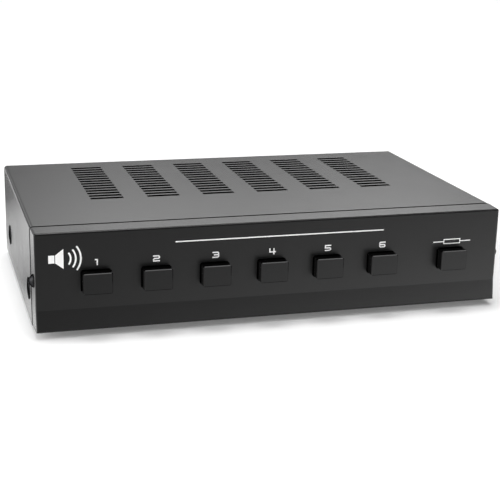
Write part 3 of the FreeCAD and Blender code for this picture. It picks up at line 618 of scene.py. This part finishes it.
floor_corners = [(x * FLOOR_REACH, y * FLOOR_REACH, 0) for x, y in ((-1, -1), (1, -1), (1, 1), (-1, 1))]
floor_mesh = bpy.data.meshes.new("floor")
floor_mesh.from_pydata(floor_corners, [], [(0, 1, 2, 3)])
floor = bpy.data.objects.new("floor", floor_mesh)
bpy.context.scene.collection.objects.link(floor)
floor_white = finish("floor", (0.88, 0.88, 0.88), roughness=0.9, mottle=0.01, pebble_height=0.0,
                     specular=0.1)
floor_shader = floor_white.node_tree.nodes["Principled BSDF"]
floor_shader.inputs["Emission Color"].default_value = (1, 1, 1, 1)
floor_shader.inputs["Emission Strength"].default_value = 0.14
floor_mesh.materials.append(floor_white)


def strip_box(name, place, aim, size, power):
    """A rectangular soft box in watts, turned towards a point, with its long side along X."""
    light = bpy.data.lights.new(name, "AREA")
    light.shape = "RECTANGLE"
    light.size, light.size_y = size
    light.energy = power
    lamp = bpy.data.objects.new(name, light)
    lamp.location = place
    lamp.rotation_euler = (Vector(aim) - Vector(place)).to_track_quat("-Z", "Y").to_euler()
    bpy.context.scene.collection.objects.link(lamp)


strip_box("overhead_strip", place=(0.0, 0.05, 1.6), aim=(0.0, 0.0, 0.0), size=(1.0, 0.3), power=3.5)
strip_box("front_strip", place=(0.5, -0.55, 1.57), aim=(0.5, 0.0, 0.0), size=(0.95, 0.25), power=4.0)

world = bpy.data.worlds.new("studio")
world.use_nodes = True
sky = world.node_tree
sky_place = sky.nodes.new("ShaderNodeTexCoord")


def glow(others, azimuth, elevation, sharpness, strength):
    """One soft patch of light in the studio's walls, added to the others. Azimuth is in degrees from
    straight behind the case towards its right."""
    turn, rise = math.radians(azimuth), math.radians(elevation)
    towards = sky.nodes.new("ShaderNodeVectorMath")
    towards.operation = "DOT_PRODUCT"
    towards.inputs[1].default_value = (
        math.sin(turn) * math.cos(rise), math.cos(turn) * math.cos(rise), math.sin(rise))
    sky.links.new(sky_place.outputs["Generated"], towards.inputs[0])
    falloff = math_node(sky, "MULTIPLY_ADD", towards.outputs["Value"], sharpness, -sharpness)
    return math_node(sky, "MULTIPLY_ADD", math_node(sky, "EXPONENT", falloff), strength, others)


ceiling = glow(0.0, azimuth=0, elevation=82, sharpness=60.0, strength=13.6)
left_wall = glow(ceiling, azimuth=-80, elevation=8, sharpness=10.0, strength=7.8)
left_front = glow(left_wall, azimuth=225, elevation=40, sharpness=10.0, strength=1.4)
right_front = glow(left_front, azimuth=135, elevation=2, sharpness=200.0, strength=34.0)
behind = glow(right_front, azimuth=10, elevation=24, sharpness=100.0, strength=2.5)
behind_right = glow(behind, azimuth=25, elevation=24, sharpness=100.0, strength=3.2)
behind_left = glow(behind_right, azimuth=-14, elevation=18, sharpness=100.0, strength=1.6)
sky.links.new(behind_left, sky.nodes["Background"].inputs["Strength"])
sky.nodes["Background"].inputs["Color"].default_value = (1, 1, 1, 1)
bpy.context.scene.world = world


def gloss_panel(name, left, right, front, back, strength, terms):
    """A dim panel just over the floor, out of view, that shows only in the case's gloss. To its even
    strength come terms, each a strength and the ramps it follows: an axis, and where along it, in
    metres, the ramp is dark and where it is full."""
    corners = [(left, front), (right, front), (right, back), (left, back)]
    mesh = bpy.data.meshes.new(name)
    mesh.from_pydata([(x, y, MM) for x, y in corners], [], [(0, 1, 2, 3)])
    panel = bpy.data.objects.new(name, mesh)
    bpy.context.scene.collection.objects.link(panel)
    glowing = bpy.data.materials.new(name)
    glowing.use_nodes = True
    tree = glowing.node_tree
    shader = tree.nodes["Principled BSDF"]
    shader.inputs["Base Color"].default_value = (0, 0, 0, 1)
    shader.inputs["Specular IOR Level"].default_value = 0.0
    shader.inputs["Emission Color"].default_value = (1, 1, 1, 1)
    place = place_axes(tree, "Object")
    total = strength
    for share, ramps in terms:
        for axis, dark, full in ramps:
            ramp = ramp_node(tree, place[axis], dark, full, clamp=False)
            share = math_node(tree, "MULTIPLY", share, math_node(tree, "MAXIMUM", ramp, 0.0))
        total = math_node(tree, "ADD", total, share)
    tree.links.new(total, shader.inputs["Emission Strength"])
    mesh.materials.append(glowing)
    panel.visible_camera = False
    panel.visible_diffuse = False
    panel.visible_shadow = False


gloss_panel("front_panel_light", left=-0.9, right=0.9, front=-0.75, back=-0.088, strength=0.70, terms=[
    (2.42, [("X", -0.15, 0.25), ("Y", -0.33, -0.08)]),
    (0.14, [("Y", -0.33, -0.08)]),
])
gloss_panel("left_panel_light", left=-0.9, right=-0.132, front=-0.09, back=1.2, strength=0.0, terms=[
    (0.72, [("Y", 0.30, -0.09)]),
    (0.45, [("Y", 0.02, 0.12), ("Y", 0.22, 0.12)]),
    (1.80, [("X", -0.28, -0.22), ("X", -0.16, -0.22)]),
    (0.80, [("Y", 0.01, -0.06)]),
])
bpy.context.scene.view_settings.view_transform = "Standard"
